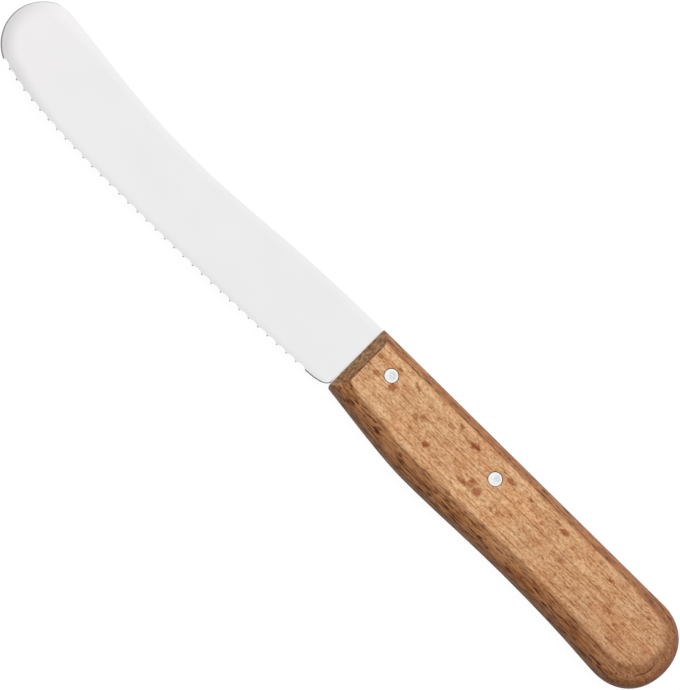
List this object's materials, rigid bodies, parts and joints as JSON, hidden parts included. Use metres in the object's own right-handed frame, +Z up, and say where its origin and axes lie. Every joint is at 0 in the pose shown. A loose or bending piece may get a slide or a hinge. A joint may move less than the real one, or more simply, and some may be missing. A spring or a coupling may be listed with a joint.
{
  "type": "breakfast knife",
  "caption": "Table knife with a wide thin blade, dipped spine, rounded spreading tip and finely scalloped edge, riveted into a one-piece beech handle.",
  "frame": {"origin": "under the middle of the knife, on the surface that it lies on", "axes": "+X from the tip to the butt, +Y towards the spine, +Z up through the thickness of the handle"},
  "size_m": [0.225, 0.0242, 0.0124],
  "materials": {
    "stainless_steel": "fine satin stainless steel sheet",
    "oiled_beech": "sanded and oiled beech",
    "aluminium": "bare aluminium, headed by a punch"
  },
  "bodies": {
    "root": {"blade": "stainless_steel", "handle": "oiled_beech", "front_rivet": "aluminium", "rear_rivet": "aluminium"}
  },
  "joints": []
}
